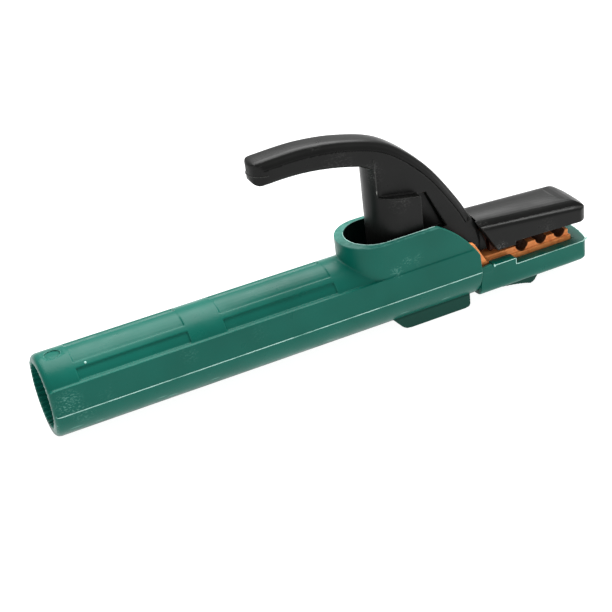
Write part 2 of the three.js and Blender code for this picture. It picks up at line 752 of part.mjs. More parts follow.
function springSeat() {
  const floor = barTopZ + gap;
  const centring = springRadius - springWire - 2 * gap;
  return join(
    rodZ(seatRadius, cupX, floor, floor + seatThickness, 40),
    rodZ(centring, cupX, floor, floor + seatThickness + 3, 28),
  );
}

function bush(side) {
  const inner = tongueGap + gap;
  const flangeInner = leverHalfWidth + gap;
  const outer = earInner - gap;
  const [a, b, c] = [inner, flangeInner, outer].map((y) => y * side);
  const sleeve = rodY(bushRadius, pivotX, pivotZ, Math.min(a, c), Math.max(a, c));
  const flange = rodY(bushFlangeRadius, pivotX, pivotZ, Math.min(b, c), Math.max(b, c));
  return cut(join(sleeve, flange), rodY(pinRadius + pinGap, pivotX, pivotZ, -20, 20));
}

function setScrew(x) {
  const bottom = socketZ + socketBoreRadius - 0.8 + gap;
  const top = bottom + setScrewLength;
  return cut(
    rodZ(setScrewRadius, x, bottom, top, 24),
    block(x - 4, x + 4, -0.5, 0.5, top - 1.2, top + 1),
  );
}

function saddle() {
  const top = socketZ + socketBoreRadius - 0.8;
  return block(
    setScrewXs[0] - 5, setScrewXs[1] + 5, -saddleHalfWidth, saddleHalfWidth, top - saddleThickness, top);
}

// ---------- assembly ----------
place("handle_housing", handleHousing(), greenPlastic);
place("lower_jaw_shell", lowerJawShell(), greenPlastic);
place("lower_jaw", lowerJaw(), copper);
place("contact_body", contactBody(), brass);
place("upper_jaw", upperJaw(), copper);
place("upper_jaw_cover", upperJawCover(), blackPlastic);
place("lever", lever(), blackPlastic);
place("spring", spring(), springSteel);
place("spring_seat", springSeat(), grayFibre);
place("pivot_pin", rodY(pinRadius, pivotX, pivotZ, -earOuter, earOuter), steel);
place("pivot_bush_left", bush(1), grayFibre);
place("pivot_bush_right", bush(-1), grayFibre);
place("lever_pin",
  rodY(rollPinRadius, rollPinX, rollPinZ, -leverHalfWidth + gap, leverHalfWidth - gap, 20), steel);
place("cable_saddle", saddle(), brass);
setScrewXs.forEach((x, i) => place(`cable_screw_${i + 1}`, setScrew(x), steel));
jawScrewXs.forEach((x, i) => place(`jaw_screw_${i + 1}`, screwUp(x, barBottomZ, flangeTopZ - gap), steel));
place("handle_screw", screwUp(handleScrewX, footBottomZ + 0.6, barTopZ - gap), steel);
place("shell_screw", screwUp(bossX, bossBottomZ + shellScrewInset, flangeTopZ - 2 * gap), steel);
place("cover_screw", screwUp(coverScrewX, lowerJawTopZ + jawBite, upperJawTopZ + 3.4), steel);

holder.position.set(-shellFrontX / 2, 0, footDepth);

export default holder;
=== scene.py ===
"""The looks of a hand-held welding electrode holder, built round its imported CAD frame.

Metres, +Z up, +X from the cable end towards the jaws. Places on the object are named in
millimetres from the middle of the handle's rear end. Moulded and cast pieces are skins drawn
over their CAD nodes, and the small metal pieces stay CAD.
"""

import math

import bpy
import numpy as np
from mathutils import Matrix, Vector
from mathutils.bvhtree import BVHTree


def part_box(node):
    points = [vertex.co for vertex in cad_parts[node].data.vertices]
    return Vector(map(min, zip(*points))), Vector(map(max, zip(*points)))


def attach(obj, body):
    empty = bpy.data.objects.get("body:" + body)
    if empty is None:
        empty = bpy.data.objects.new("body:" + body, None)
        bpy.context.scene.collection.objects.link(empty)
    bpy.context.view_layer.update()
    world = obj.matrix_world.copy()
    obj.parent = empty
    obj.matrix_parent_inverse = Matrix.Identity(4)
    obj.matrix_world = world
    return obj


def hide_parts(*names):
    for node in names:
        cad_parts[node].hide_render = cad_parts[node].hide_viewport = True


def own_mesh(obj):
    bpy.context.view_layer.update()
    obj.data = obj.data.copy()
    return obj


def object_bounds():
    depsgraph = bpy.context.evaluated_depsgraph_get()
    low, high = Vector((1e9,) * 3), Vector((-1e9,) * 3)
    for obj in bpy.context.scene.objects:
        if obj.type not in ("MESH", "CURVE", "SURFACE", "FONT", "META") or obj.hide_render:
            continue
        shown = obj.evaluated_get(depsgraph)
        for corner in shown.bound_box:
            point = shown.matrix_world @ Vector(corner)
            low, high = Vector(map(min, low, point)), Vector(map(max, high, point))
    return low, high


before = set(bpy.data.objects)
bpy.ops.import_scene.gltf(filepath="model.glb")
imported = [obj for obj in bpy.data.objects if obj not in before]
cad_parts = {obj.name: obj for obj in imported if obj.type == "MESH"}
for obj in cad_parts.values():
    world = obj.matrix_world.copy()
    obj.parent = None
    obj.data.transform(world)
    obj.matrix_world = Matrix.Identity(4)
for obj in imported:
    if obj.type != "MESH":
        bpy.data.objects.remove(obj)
cad_low, cad_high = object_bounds()

MM = 0.001
HANDLE_LOW, HANDLE_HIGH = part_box("handle_housing")
REAR_X = HANDLE_LOW[0]
HANDLE_LENGTH = (HANDLE_HIGH[0] - REAR_X) / MM
COLLAR_TOP = HANDLE_HIGH[2]
AXIS_Z = 21 * MM  # the handle tube's axis, above the foot's flat face


def at(x, y, z):
    """A point given in millimetres from the middle of the handle's rear end."""
    return Vector((REAR_X + x * MM, y * MM, AXIS_Z + z * MM))


# ---------- camera ----------
CAMERA_PLACE = (-0.20445, -0.48524, 0.32532)
CAMERA_RIGHT = Vector((0.89703423, -0.42822197, -0.10934135))
CAMERA_UP = Vector((0.30306039, 0.41591537, 0.85741986))
CAMERA_LENS = 81.12
CAMERA_SENSOR = 36
CAMERA_NEAR = 0.01


def make_camera():
    data = bpy.data.cameras.new("camera")
    data.lens = CAMERA_LENS
    data.sensor_width = CAMERA_SENSOR
    data.clip_start = CAMERA_NEAR
    camera = bpy.data.objects.new("camera", data)
    backward = CAMERA_RIGHT.cross(CAMERA_UP)
    turn = Matrix((CAMERA_RIGHT, CAMERA_UP, backward)).transposed().to_4x4()
    camera.matrix_world = Matrix.Translation(CAMERA_PLACE) @ turn
    bpy.context.collection.objects.link(camera)
    bpy.context.scene.camera = camera


make_camera()


# ---------- finishes ----------
MIX_FROM, MIX_TO, MIX_RESULT = 6, 7, 2  # a mix node's colour sockets
NEAR_CORE = 0.3  # share of its reach within which a worn place is at its strongest
PLASTIC_SPECULAR = 0.16
PLASTIC_ROUGHNESS = 0.32
EDGE_WEAR = (0.52, 0.6, 0.3)  # pointiness from and to, and the strength
RECESS_SHADE = (0.48, 0.42, 0.7)
RECESS_DARKNESS = 0.3
GREEN = (0.002, 0.12, 0.088)
DEEP_GREEN = (0.001, 0.1, 0.072)
GREEN_SCUFF = (0.2, 0.5, 0.42)
GREEN_RIM = (0.07, 0.24, 0.2)
# painted shade for the foot's sides
GREEN_FOOT_SHADE = (0.001, 0.035, 0.024)
# painted shade for the walls inside the collar's well
GREEN_WELL_SHADE = (0.003, 0.012, 0.01)
BLACK = (0.008, 0.0083, 0.0078)
DEEP_BLACK = (0.006, 0.0063, 0.006)
BLACK_SCUFF = (0.16, 0.16, 0.155)
# painted shade in the jaws' scallops
SCALLOP_SHADE = (0.035, 0.009, 0.003)
# Scuffed places, each with its reach and its strength.
GREEN_SCUFFS = [(at(7, -17, 3), 7, 0.45), (at(12, -17, -4), 6, 0.2), (at(159, -15.5, 12), 4, 0.4),
                (at(60, -17, 6), 5, 0.12), (at(92, -17, 5), 5, 0.08), (at(164, -15.5, 15), 3, 0.4)]
BLACK_SCUFFS = [(at(155, -7.4, 56), 7, 0.35), (at(214, -12, 4), 4, 0.8), (at(140, -7, 64), 10, 0.15),
                (at(166, -11, 42), 7, 0.2), (at(238, -13, 7), 6, 0.15), (at(206, -9, 16), 4, 0.3)]
RIM_WEAR_FROM = COLLAR_TOP - 0.7 * MM
RIM_WEAR_TO = COLLAR_TOP - 0.1 * MM
WELL_ARC_X = 156.5  # middle of the well's round rear end
WELL_HALF_WIDTH = 13.0
WELL_END_X = 200
WELL_SHADE_Z = -12  # the painted shade starts at this height and is full a millimetre above it
FOOT_SHADE_Y = 12.1 * MM  # the foot's sides, darkened with painted shade, lie within this of the middle
FOOT_SHADE_Z = -13.6
SCALLOPS = ((226.7, 3.2), (237.1, 2.9), (247.2, 2.9))  # place along X and radius
SCALLOP_Z = 0.3


class Finish:
    """A Principled material whose nodes read places on the object in metres."""

    def __init__(self, name, color, roughness, metallic=0.0, specular=0.5):
        self.material = bpy.data.materials.new(name)
        self.material.use_nodes = True
        self.tree = self.material.node_tree
        self.shader = self.tree.nodes["Principled BSDF"]
        self.shader.inputs["Metallic"].default_value = metallic
        self.shader.inputs["Specular IOR Level"].default_value = specular
        self.place = self.node("ShaderNodeTexCoord").outputs["Object"]
        self.color = color
        self.roughness = roughness
        self.heights = []

    def node(self, kind):
        return self.tree.nodes.new(kind)

    def put(self, value, socket):
        """Sets a socket to an even value or colour, or links it to what varies."""
        if isinstance(value, bpy.types.NodeSocket):
            self.tree.links.new(value, socket)
        elif isinstance(value, tuple):
            socket.default_value = (*value, 1)
        else:
            socket.default_value = value

    def noise(self, scale, detail, stretch=(1, 1, 1), offset=0.0):
        """An uneven pattern with about scale waves to the metre."""
        mapping = self.node("ShaderNodeMapping")
        mapping.inputs["Scale"].default_value = stretch
        mapping.inputs["Location"].default_value = (offset, offset, offset)
        texture = self.node("ShaderNodeTexNoise")
        texture.inputs["Scale"].default_value = scale
        texture.inputs["Detail"].default_value = detail
        self.tree.links.new(self.place, mapping.inputs["Vector"])
        self.tree.links.new(mapping.outputs["Vector"], texture.inputs["Vector"])
        return texture.outputs["Fac"]

    def remap(self, value, low, high, to_low=0.0, to_high=1.0):
        node = self.node("ShaderNodeMapRange")
        limits = {"From Min": low, "From Max": high, "To Min": to_low, "To Max": to_high}
        for name, number in limits.items():
            node.inputs[name].default_value = number
        self.tree.links.new(value, node.inputs["Value"])
        return node.outputs["Result"]

    def patches(self, scale, detail, low, high, amount=1.0, **placing):
        """High in patches, where an uneven pattern passes from low to high."""
        return self.remap(self.noise(scale, detail, **placing), low, high, 0.0, amount)

    def math(self, operation, a, b=0.0):
        node = self.node("ShaderNodeMath")
        node.operation = operation
        self.put(a, node.inputs[0])
        self.put(b, node.inputs[1])
        return node.outputs[0]

    def vector_math(self, operation, a, b):
        node = self.node("ShaderNodeVectorMath")
        node.operation = operation
        self.tree.links.new(a, node.inputs[0])
        node.inputs[1].default_value = b
        return node.outputs["Value" if operation == "DISTANCE" else "Vector"]

    def axis(self, letter):
        node = self.node("ShaderNodeSeparateXYZ")
        self.tree.links.new(self.place, node.inputs[0])
        return node.outputs[letter]

    def tint(self, factor, color):
        """Lays a colour over the one so far, as strongly as factor says at each place."""
        node = self.node("ShaderNodeMix")
        node.data_type = "RGBA"
        self.put(factor, node.inputs["Factor"])
        self.put(self.color, node.inputs[MIX_FROM])
        self.put(color, node.inputs[MIX_TO])
        self.color = node.outputs[MIX_RESULT]

    def near(self, place, reach):
        """High close to one place on the object, falling to nothing at reach."""
        away = self.vector_math("DISTANCE", self.place, place)
        return self.remap(away, reach * MM, NEAR_CORE * reach * MM)

    def beside(self, place, radius):
        """High within a radius of a line that runs across the object through one place."""
        flat = self.vector_math("MULTIPLY", self.place, (1, 0, 1))
        away = self.vector_math("DISTANCE", flat, (place.x, 0, place.z))
        return self.remap(away, (radius + 0.35) * MM, (radius + 0.1) * MM, 0, 0.9)

    def edges(self, low, high, amount):
        """High where pointiness passes from low to high: above a half outer edges, below it recesses."""
        shape = self.node("ShaderNodeNewGeometry").outputs["Pointiness"]
        return self.remap(shape, low, high, 0.0, amount)

    def vary_roughness(self, scale, detail, less, more):
        """Lets the roughness wander from less below its even value to more above it."""
        pattern = self.noise(scale, detail)
        self.roughness = self.remap(pattern, 0.3, 0.7, self.roughness - less, self.roughness + more)

    def bump(self, height, distance):
        self.heights.append((height, distance))

    def done(self):
        self.put(self.color, self.shader.inputs["Base Color"])
        self.put(self.roughness, self.shader.inputs["Roughness"])
        normal = None
        for height, distance in self.heights:
            node = self.node("ShaderNodeBump")
            node.inputs["Distance"].default_value = distance
            self.tree.links.new(height, node.inputs["Height"])
            if normal:
                self.tree.links.new(normal, node.inputs["Normal"])
            normal = node.outputs["Normal"]
        if normal:
            self.tree.links.new(normal, self.shader.inputs["Normal"])
        return self.material


def moulded_plastic(name, color, deep, scuff, scuffed_places):
    """Injection-moulded plastic: a slightly uneven skin, pale scuffs and worn edges."""
    finish = Finish(name, color, PLASTIC_ROUGHNESS, specular=PLASTIC_SPECULAR)
    finish.tint(finish.patches(38, 2, 0.35, 0.7), deep)
    flecks = finish.patches(1900, 5, 0.5, 0.68, stretch=(0.5, 1, 1))
    stray = finish.patches(70, 2, 0.66, 0.85, 0.25, offset=3)
    finish.tint(finish.math("MULTIPLY", stray, flecks), scuff)
    for place, reach, amount in scuffed_places:
        worn = finish.math("MULTIPLY", finish.near(place, reach), flecks)
        finish.tint(finish.math("MULTIPLY", worn, amount), scuff)
    finish.tint(finish.edges(*EDGE_WEAR), scuff)
    finish.tint(finish.edges(*RECESS_SHADE), tuple(part * RECESS_DARKNESS for part in deep))
    finish.vary_roughness(140, 4, 0.05, 0.08)
    finish.bump(finish.noise(42, 1, offset=7), 0.5 * MM)
    finish.bump(finish.noise(1500, 3), 0.02 * MM)
    return finish


def green_plastic():
    finish = moulded_plastic("green_plastic", GREEN, DEEP_GREEN, GREEN_SCUFF, GREEN_SCUFFS)
    finish.tint(rim_wear(finish), GREEN_RIM)
    # painted shade on the foot's sides
    finish.tint(foot_shade(finish), GREEN_FOOT_SHADE)
    # painted shade inside the collar's well
    finish.tint(well_shade(finish), GREEN_WELL_SHADE)
    return finish.done()


def rim_wear(finish):
    """High on the collar's rubbed upper rim."""
    rim = finish.remap(finish.axis("Z"), RIM_WEAR_FROM, RIM_WEAR_TO)
    worn = finish.remap(finish.noise(500, 4, offset=5), 0.35, 0.75, 0.15, 0.75)
    return finish.math("MULTIPLY", rim, worn)


def foot_shade(finish):
    """High on the foot's sides, where shade is painted."""
    top = at(0, 0, FOOT_SHADE_Z).z
    low = finish.remap(finish.axis("Z"), top, top - 0.6 * MM, 0, 0.75)
    aside = finish.math("ABSOLUTE", finish.axis("Y"))
    under = finish.remap(aside, FOOT_SHADE_Y + 0.3 * MM, FOOT_SHADE_Y)
    return finish.math("MULTIPLY", low, under)


def well_shade(finish):
    """High on the walls inside the collar, where shade is painted."""
    x, y, z = (finish.axis(letter) for letter in "XYZ")
    behind = finish.math("MINIMUM", finish.math("SUBTRACT", x, at(WELL_ARC_X, 0, 0).x), 0.0)
    reach = finish.math("ADD", finish.math("POWER", behind, 2.0), finish.math("POWER", y, 2.0))
    reach = finish.math("SQRT", reach)
    inside = finish.remap(reach, (WELL_HALF_WIDTH + 0.25) * MM, (WELL_HALF_WIDTH + 0.1) * MM)
    end = at(WELL_END_X, 0, WELL_SHADE_Z)
    inside = finish.math("MULTIPLY", inside, finish.remap(x, end.x, end.x - 3 * MM))
    return finish.math("MULTIPLY", inside, finish.remap(z, end.z, end.z + MM))


def green_flash():
    """The thin pale fin of plastic squeezed out along a mould's parting line."""
    finish = Finish("green_flash", (0.5, 0.82, 0.74), 0.4)
    finish.tint(finish.patches(90, 3, 0.5, 0.72), (0.1, 0.38, 0.3))
    return finish.done()


def black_plastic():
    return moulded_plastic("black_plastic", BLACK, DEEP_BLACK, BLACK_SCUFF, BLACK_SCUFFS).done()


def black_flash():
    finish = Finish("black_flash", (0.05, 0.05, 0.048), 0.45, specular=PLASTIC_SPECULAR)
    finish.tint(finish.patches(420, 3, 0.55, 0.7), (0.35, 0.35, 0.33))
    return finish.done()


def cast_metal(name, color, dark, roughness, metallic):
    """Cast metal with a grainy skin and painted shade in the jaws' scallops."""
    finish = Finish(name, color, roughness, metallic)
    finish.tint(finish.patches(300, 4, 0.48, 0.7, 0.8), dark)
    finish.vary_roughness(500, 3, 0.1, 0.1)
    # painted shade in each scallop's hollow
    for x, radius in SCALLOPS:
        finish.tint(finish.beside(at(x, 0, SCALLOP_Z), radius), SCALLOP_SHADE)
    finish.bump(finish.noise(420, 4), 0.3 * MM)
    finish.bump(finish.noise(2200, 2), 0.06 * MM)
    return finish.done()


def machined_metal(name, color, dark, roughness):
    """Turned or drawn metal with fine marks round it and dull patches."""
    finish = Finish(name, color, roughness, metallic=1.0)
    finish.tint(finish.patches(260, 4, 0.5, 0.75, 0.7), dark)
    finish.vary_roughness(600, 2, 0.06, 0.1)
    finish.bump(finish.noise(700, 3, stretch=(0.2, 1, 1)), 0.03 * MM)
    return finish.done()


def fibre():
    finish = Finish("fibre", (0.10, 0.07, 0.05), 0.8)
    finish.tint(finish.patches(900, 4, 0.4, 0.65), (0.17, 0.12, 0.085))
    finish.bump(finish.noise(1600, 3), 0.08 * MM)
    return finish.done()


FINISHES = {
    "green_plastic": green_plastic(),
    "green_flash": green_flash(),
    "black_plastic": black_plastic(),
    "black_flash": black_flash(),
    "copper": cast_metal("copper", (1.0, 0.34, 0.095), (0.75, 0.2, 0.045), 0.5, 0.25),
    # copper darkened with painted shade, for the upper jaw under the cover
    "shaded_copper": cast_metal("shaded_copper", (0.05, 0.011, 0.003), (0.01, 0.004, 0.002), 0.5, 0.5),
    "brass": machined_metal("brass", (0.72, 0.5, 0.18), (0.4, 0.26, 0.1), 0.38),
    "spring_steel": machined_metal("spring_steel", (0.3, 0.31, 0.33), (0.12, 0.12, 0.13), 0.32),
    "zinc_steel": machined_metal("zinc_steel", (0.6, 0.6, 0.6), (0.35, 0.33, 0.3), 0.3),
    "fibre": fibre(),
}


# ---------- tools for pieces ----------
SMOOTH_ANGLE = math.radians(32)
OUTSIDE = 200 * MM  # clear of the object in every direction
UP = Vector((0, 0, 1))
FIN_SINK = 0.15  # how far a fin's foot goes below the surface
FIN_CREST = 0.3  # a fin's crest is this share of its foot's width
FIN_UNEVEN = 0.3  # and its height wanders by this share
# A burr's outline from foot to point, in shares of its radius and of its height.
BURR_OUTLINE = ((1, -0.3), (0.8, 0.4), (0.15, 1))
BURR_SIDES = 8


def steps(a, b, count):
    return [a + (b - a) * i / (count - 1) for i in range(count)]


def round_angles(count):
    return [2 * math.pi * i / count for i in range(count)]


def heading(angle):
    """The way that lies an angle round from +X, seen from above."""
    return Vector((math.cos(angle), math.sin(angle), 0))


def add(name, mesh):
    piece = bpy.data.objects.new(name, mesh)
    bpy.context.collection.objects.link(piece)
    return piece


def settle(piece):
    """Turns a piece's modifiers into its mesh."""
    shown = piece.evaluated_get(bpy.context.evaluated_depsgraph_get())
    mesh = bpy.data.meshes.new_from_object(shown)
    piece.modifiers.clear()
    piece.data = mesh


def dress(piece, finish, body, slot, *nodes):
    piece.data.materials.clear()
    piece.data.materials.append(FINISHES[finish])
    piece.data.shade_smooth()
    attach(piece, body)
    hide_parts(*nodes)


def skin_over(name, node, voxel, passes, most_faces, shape=None):
    """A fine skin drawn over a CAD node, its edges softened as a mould or a casting leaves them.

    The voxel is in millimetres, and shape moves the skin's points before any thinning.
    """
    piece = add(name, bpy.data.meshes.new_from_object(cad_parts[node]))
    remesh = piece.modifiers.new("skin", "REMESH")
    remesh.mode = "VOXEL"
    remesh.voxel_size = voxel * MM * 1
    settle(piece)
    soften = piece.modifiers.new("soften", "SMOOTH")
    soften.factor = 0.5
    soften.iterations = passes
    settle(piece)
    if shape:
        reshape(piece.data, shape)
    triangles = sum(len(face.vertices) - 2 for face in piece.data.polygons)
    if triangles > most_faces:
        thin = piece.modifiers.new("thin", "DECIMATE")
        thin.ratio = most_faces / triangles
        settle(piece)
    return piece


def reshape(mesh, shape):
    """Moves a mesh's points to where shape(points) puts them."""
    points = np.empty(len(mesh.vertices) * 3)
    mesh.vertices.foreach_get("co", points)
    points = shape(points.reshape(-1, 3))
    mesh.vertices.foreach_set("co", points.ravel())


def loft(name, rings, closed=False):
    """A mesh through rings of points, all with the same count, capped unless it closes on itself."""
    count = len(rings[0])
    spans = len(rings) if closed else len(rings) - 1
    faces = []
    for i in range(spans):
        a = i * count
        b = (i + 1) % len(rings) * count
        for j in range(count):
            k = (j + 1) % count
            faces.append((a + j, a + k, b + k, b + j))
    if not closed:
        faces.append(tuple(reversed(range(count))))
        faces.append(tuple(range(spans * count, (spans + 1) * count)))
    mesh = bpy.data.meshes.new(name)
    mesh.from_pydata([p for ring in rings for p in ring], [], faces)
    mesh.update()
    return add(name, mesh)


def surface_of(piece):
    return BVHTree.FromObject(piece, bpy.context.evaluated_depsgraph_get())


def wander(t, size, seed):
    """An even, repeatable unsteadiness along a line."""
    return size * (0.6 * math.sin(2.7 * t + seed) + 0.4 * math.sin(7.1 * t + 2.3 * seed))


def fin(name, hits, height, width, closed=False):
    """A thin raised line along points on a surface, each given with its outward normal."""
    rings = []
    last = len(hits) - 1
    for i, (point, normal) in enumerate(hits):
        ahead = hits[min(i + 1, last)][0] - hits[max(i - 1, 0)][0]
        across = normal.cross(ahead).normalized() * (width / 2 * MM)
        rise = height + wander(i * 0.4, height * FIN_UNEVEN, len(name))
        foot = point - normal * (FIN_SINK * MM)
        crest = point + normal * (rise * MM)
        inset = across * FIN_CREST
        rings.append([foot - across, foot + across, crest + inset, crest - inset])
    return loft(name, rings, closed)


def burr(name, place, normal, radius, height):
    """A small pointed scrap of flash left standing on a surface."""
    side = normal.orthogonal().normalized()
    other = normal.cross(side).normalized()
    rings = []
    for width, lift in BURR_OUTLINE:
        middle = place + normal * (lift * height * MM)
        rings.append([middle + (side * math.cos(a) + other * math.sin(a)) * (width * radius * MM)
                      for a in round_angles(BURR_SIDES)])
    return loft(name, rings)


def meet(tree, place, out):
    """The point and normal where a surface is first met, coming from outside towards a place."""
    return tree.ray_cast(place + out * OUTSIDE, -out)[:2]


# ---------- handle ----------
MARK_X = 7.8
MARK_RADIUS = 3.6
MARK_DEPTH = 0.6
MARK_LOWEST_Z = 15.5  # inside the mark's circle, only the tube's outer top is above this
PARTING_Z = -2
PARTING_INSET = (1.2, 0.4)  # the parting line's clearance from the handle's rear and front
COLLAR_FLASH_REACH = WELL_HALF_WIDTH + 0.35
COLLAR_FLASH_ARC = (150, 270)
COLLAR_FLASH_END_X = 180
NIB_PLACE = (18.5, -9.8, 0)


def press_mark(points):
    """Sinks the moulder's round mark into the top of the tube."""
    centre = at(MARK_X, 0, MARK_LOWEST_Z)
    reach = np.hypot(points[:, 0] - centre.x, points[:, 1])
    inside = (reach < MARK_RADIUS * MM) & (points[:, 2] > centre.z)
    points[inside, 2] -= MARK_DEPTH * MM
    return points


def make_housing():
    housing = skin_over("housing_skin", "handle_housing", voxel=0.34, passes=1, most_faces=195_000,
                        shape=press_mark)
    dress(housing, "green_plastic", "body", "green_plastic", "handle_housing")
    tree = surface_of(housing)
    for side, label in ((-1, "near"), (1, "far")):
        line = fin(f"parting_line_{label}", parting_line(tree, side), height=0.28, width=0.5)
        dress(line, "green_flash", "body", "green_plastic", "handle_housing")
    edge = fin("collar_flash", collar_edge(tree), height=0.22, width=0.35)
    dress(edge, "green_flash", "body", "green_plastic", "handle_housing")
    nib = burr("panel_nib", *meet(tree, at(*NIB_PLACE), UP), radius=0.6, height=0.5)
    dress(nib, "green_flash", "body", "green_plastic", "handle_housing")
    ring = [meet(tree, at(MARK_X, 0, 0) + heading(a) * (MARK_RADIUS * MM), UP) for a in round_angles(48)]
    mark = fin("moulders_mark", ring, height=0.22, width=0.5, closed=True)
    dress(mark, "green_plastic", "body", "green_plastic", "handle_housing")


def parting_line(tree, side):
    """Points along one side of the handle where the mould's halves met."""
    rear, front = PARTING_INSET
    places = [at(x, 0, PARTING_Z) for x in steps(rear, HANDLE_LENGTH - front, 160)]
    return [meet(tree, place, Vector((0, side, 0))) for place in places]


def collar_edge(tree):
    """Points along the collar's inner edge, round its rear and forward on the near side."""
    middle = at(WELL_ARC_X, 0, 0)
    first, last = (math.radians(angle) for angle in COLLAR_FLASH_ARC)
    places = [middle + heading(a) * (COLLAR_FLASH_REACH * MM) for a in steps(first, last, 60)]
    places += [at(x, -COLLAR_FLASH_REACH, 0) for x in steps(WELL_ARC_X + 0.5, COLLAR_FLASH_END_X, 40)]
    return [meet(tree, place, UP) for place in places]


# ---------- lower jaw shell ----------
SHELL_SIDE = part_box("lower_jaw_shell")[1][1] / MM
SHELL_MIDDLE_X = 238
SHOULDER_Z = -1.8
RIM_Z = -5
SHELL_STEP_X = 219.5
SHELL_SHOULDER_X = 208
RIM_SWEEP = (222, 498)
RIM_BURR_PLACE = (251, -8, RIM_Z - 0.4)
RIM_BURR_OUT = Vector((0.8, -0.6, 0))
SHOULDER_BURR_OUT = Vector((-0.3, -0.3, 0.9))


def rim_edge(tree):
    """Points along the shell's upper outer edge, each with the way out from it."""
    edge = []
    for x in steps(SHELL_SHOULDER_X, SHELL_STEP_X - 0.2, 24):
        edge.append((at(x, -SHELL_SIDE, SHOULDER_Z), Vector((0, -1, 0))))
    for z in steps(SHOULDER_Z - 0.4, RIM_Z + 0.4, 6):
        edge.append((at(SHELL_STEP_X, -SHELL_SIDE, z), Vector((1, -1, 0)).normalized()))
    centre = at(SHELL_MIDDLE_X, 0, RIM_Z - 0.6)
    first, last = (math.radians(angle) for angle in RIM_SWEEP)
    for angle in steps(first, last, 150):
        place, normal = meet(tree, centre, heading(angle))
        edge.append((Vector((place.x, place.y, at(0, 0, RIM_Z).z)), normal))
    return edge


def make_shell():
    shell = skin_over("shell_skin", "lower_jaw_shell", voxel=0.34, passes=2, most_faces=150_000)
    dress(shell, "green_plastic", "body", "green_plastic", "lower_jaw_shell")
    tree = surface_of(shell)
    hits = [meet(tree, place, (out + UP).normalized()) for place, out in rim_edge(tree)]
    line = fin("rim_flash", hits, height=0.22, width=0.4)
    dress(line, "green_flash", "body", "green_plastic", "lower_jaw_shell")
    place, normal = meet(tree, at(*RIM_BURR_PLACE), RIM_BURR_OUT)
    shoulder = hits[0][0]
    scraps = (burr("rim_burr", place, normal + UP * 0.5, radius=0.6, height=1.3),
              burr("shoulder_burr", shoulder, SHOULDER_BURR_OUT, radius=0.5, height=1.1))
    for scrap in scraps:
        dress(scrap, "green_flash", "body", "green_plastic", "lower_jaw_shell")


# ---------- lever ----------
TAIL_TIP_X = (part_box("lever")[0][0] - REAR_X) / MM
TAIL_HALF_WIDTH = 7  # the tail's end is a half round seen from above
TAIL_Z = 70.5
# Sweeps along the lever's outer curve: a centre (x, z), the first and last angle and the count.
BACK_SWEEPS = (((150, 28), (-8, 131.3), 900), ((TAIL_TIP_X + 5.5, TAIL_Z), (92, 192), 120))
BACK_SPACING = 0.7
NOSE_END_Z = 17
CAP_COVER = 0.4  # how far the lever's own skin stays inside its cap
# The cap's section, from its middle down one side, as (reach below the top, distance from the middle).
CAP_SECTION = [(-0.1, 0), (-0.02, 3.2), (0.12, 4.3), (0.42, 5.05), (0.9, 5.55), (1.4, 5.8), (1.6, 6.1),
               (3.15, 7.03), (3.5, 7.05), (3.7, 6.6)]
TAIL_LINE_ARC = (95, 265)
WEB_X = 156.6  # the web's moulding line, from its top to its foot
WEB_TOP_Z = 62.5
WEB_FOOT_Z = 46


def lever_back():
    """The lever's outer curve in its middle plane, from the nose up and over to the tail's tip."""
    tree = surface_of(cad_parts["lever"])
    curve = []
    for (x, z), (first, end), count in BACK_SWEEPS:
        for angle in steps(math.radians(first), math.radians(end), count):
            place, _ = meet(tree, at(x, 0, z), Vector((math.cos(angle), 0, math.sin(angle))))
            curve.append((place.x, place.z))
    curve = np.array([point for point in curve if point[1] > at(0, 0, NOSE_END_Z).z])
    return even_curve(curve, BACK_SPACING * MM, passes=2)


def even_curve(curve, spacing, passes):
    """The same curve with even steps, its corners eased."""
    lengths = np.r_[0, np.cumsum(np.linalg.norm(np.diff(curve, axis=0), axis=1))]
    marks = np.linspace(0, lengths[-1], int(lengths[-1] / spacing))
    even = np.column_stack([np.interp(marks, lengths, curve[:, i]) for i in (0, 1)])
    for _ in range(passes):
        even[1:-1] = (even[:-2] + 2 * even[1:-1] + even[2:]) / 4
    return even


def inward_from(curve):
    """The way into the lever at each of the curve's points."""
    along = np.gradient(curve, axis=0)
    along /= np.linalg.norm(along, axis=1)[:, None]
    return np.column_stack([-along[:, 1], along[:, 0]])


def tuck_top_edge(points, curve):
    """Keeps the lever's own upper corners inside its cap."""
    reaches, sides = np.array(CAP_SECTION).T
    inward = inward_from(curve)
    for chunk in np.array_split(np.arange(len(points)), max(1, len(points) // 4000)):
        flat = points[chunk][:, [0, 2]]
        nearest = np.linalg.norm(flat[:, None, :] - curve[None, :, :], axis=2).argmin(axis=1)
        depth = np.einsum("ij,ij->i", flat - curve[nearest], inward[nearest]) / MM
        take = (depth < reaches[-1]) & (nearest > 0) & (nearest < len(curve) - 1)
        picked = chunk[take]
        kept = np.maximum(depth[take], CAP_COVER)
        moved = flat[take] + inward[nearest[take]] * ((kept - depth[take]) * MM)[:, None]
        points[picked, 0] = moved[:, 0]
        points[picked, 2] = moved[:, 1]
        limit = (np.interp(kept, reaches, sides) - CAP_COVER) * MM
        points[picked, 1] = np.clip(points[picked, 1], -limit, limit)
    return points


def within_tail(point):
    """The same point, drawn in to the tail's round end where it lies outside."""
    centre_x = at(TAIL_TIP_X + TAIL_HALF_WIDTH, 0, 0).x
    beyond = min(max(centre_x - point.x, 0), TAIL_HALF_WIDTH * MM)
    limit = math.sqrt((TAIL_HALF_WIDTH * MM) ** 2 - beyond ** 2) + 0.05 * MM
    return Vector((point.x, max(-limit, min(limit, point.y)), point.z))


